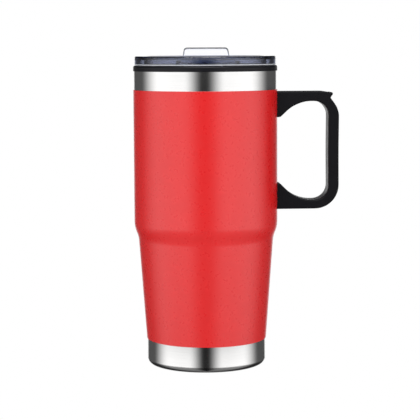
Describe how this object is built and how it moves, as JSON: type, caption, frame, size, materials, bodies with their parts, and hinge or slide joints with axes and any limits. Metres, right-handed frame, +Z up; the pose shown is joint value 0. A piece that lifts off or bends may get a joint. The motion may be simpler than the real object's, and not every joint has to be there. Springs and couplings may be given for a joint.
{
  "type": "insulated travel mug",
  "caption": "Tall insulated travel mug with a stepped, powder-coated steel body, plastic liner, side handle and clear push-in lid with a sliding shutter.",
  "frame": {"origin": "centre of the base, on the plane that the mug stands on", "axes": "+Z up along the mug's axis, +X towards the handle, -Y towards the drinking hole"},
  "size_m": [0.1261, 0.0884, 0.1957],
  "materials": {
    "steel": "fine circumferential brushing",
    "coat": "satin powder coat",
    "liner": "moulded, semi-gloss",
    "handle": "fine moulded grain, satin",
    "clear_lid": "clear, slight blue-grey tint",
    "clear_slider": "clear",
    "seal": "translucent silicone",
    "black_rubber": "matt",
    "screw_steel": "plain",
    "brass": "turned"
  },
  "bodies": {
    "mug": {"outer_shell": "steel", "powder_coat": "coat", "base_plate": "steel", "inner_liner": "liner", "liner_rim_seal": "black_rubber", "liner_foot_pad": "black_rubber", "handle_body": "handle", "grip_strip": "handle", "upper_backing_plate": "screw_steel", "lower_backing_plate": "screw_steel", "screw_washers": "black_rubber", "handle_screws": "screw_steel", "handle_inserts": "brass"},
    "seal_ring": {"lid_seal": "seal"},
    "lid": {"lid_body": "clear_lid"},
    "shutter": {"slider": "clear_slider", "slider_pad": "seal"}
  },
  "joints": [
    {"name": "lid_lift", "type": "slide", "parent": "mug", "child": "seal_ring", "axis": [0, 0, 1], "range_m": [0, 0.1]},
    {"name": "lid_turn", "type": "hinge", "parent": "seal_ring", "child": "lid", "pos_m": [0, 0, 0.177], "axis": [0, 0, 1], "continuous": true},
    {"name": "slider_travel", "type": "slide", "parent": "lid", "child": "shutter", "axis": [0, 1, 0], "range_m": [0, 0.016]}
  ]
}
